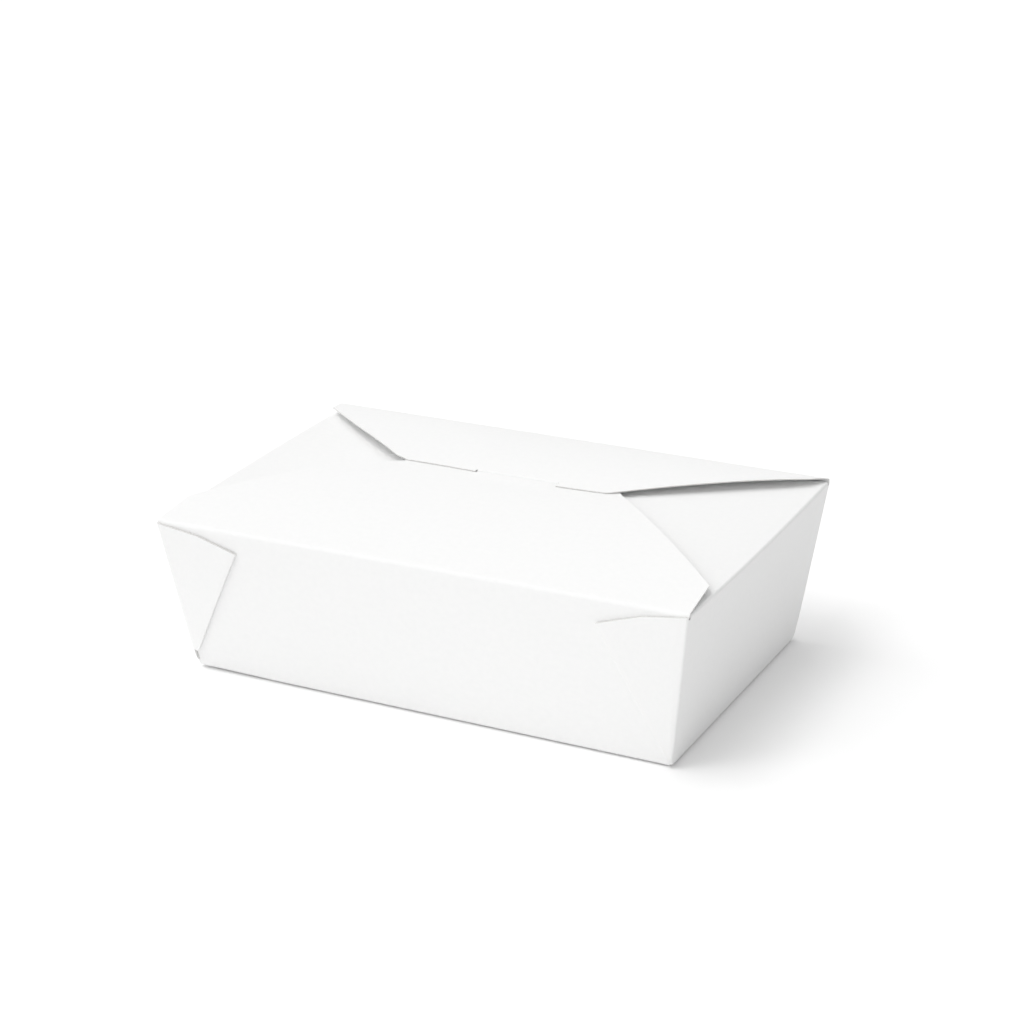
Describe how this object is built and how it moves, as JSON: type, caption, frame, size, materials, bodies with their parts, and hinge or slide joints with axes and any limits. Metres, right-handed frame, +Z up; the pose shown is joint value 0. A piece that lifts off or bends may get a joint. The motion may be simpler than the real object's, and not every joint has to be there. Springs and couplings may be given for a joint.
{
  "type": "takeout food box",
  "caption": "Closed takeout food box folded from one sheet of white paperboard, with tapered walls, flat folded corner webs and a tongued back flap that opens.",
  "frame": {"origin": "middle of the base's outer face, on the surface that the box stands on", "axes": "+X along the box's length, +Y from the front wall to the back wall, where the opening flap is creased, +Z up"},
  "size_m": [0.216, 0.149, 0.0707],
  "materials": {
    "paperboard": "matte white food board with a faint fibre texture"
  },
  "bodies": {
    "carton": {"carton": "paperboard"},
    "back_flap": {"back_flap": "paperboard"}
  },
  "joints": [
    {"name": "back_flap_hinge", "type": "hinge", "parent": "carton", "child": "back_flap", "pos_m": [0, 0.07353, 0.06513], "axis": [-1, 0, 0], "range_deg": [0, 180]}
  ]
}
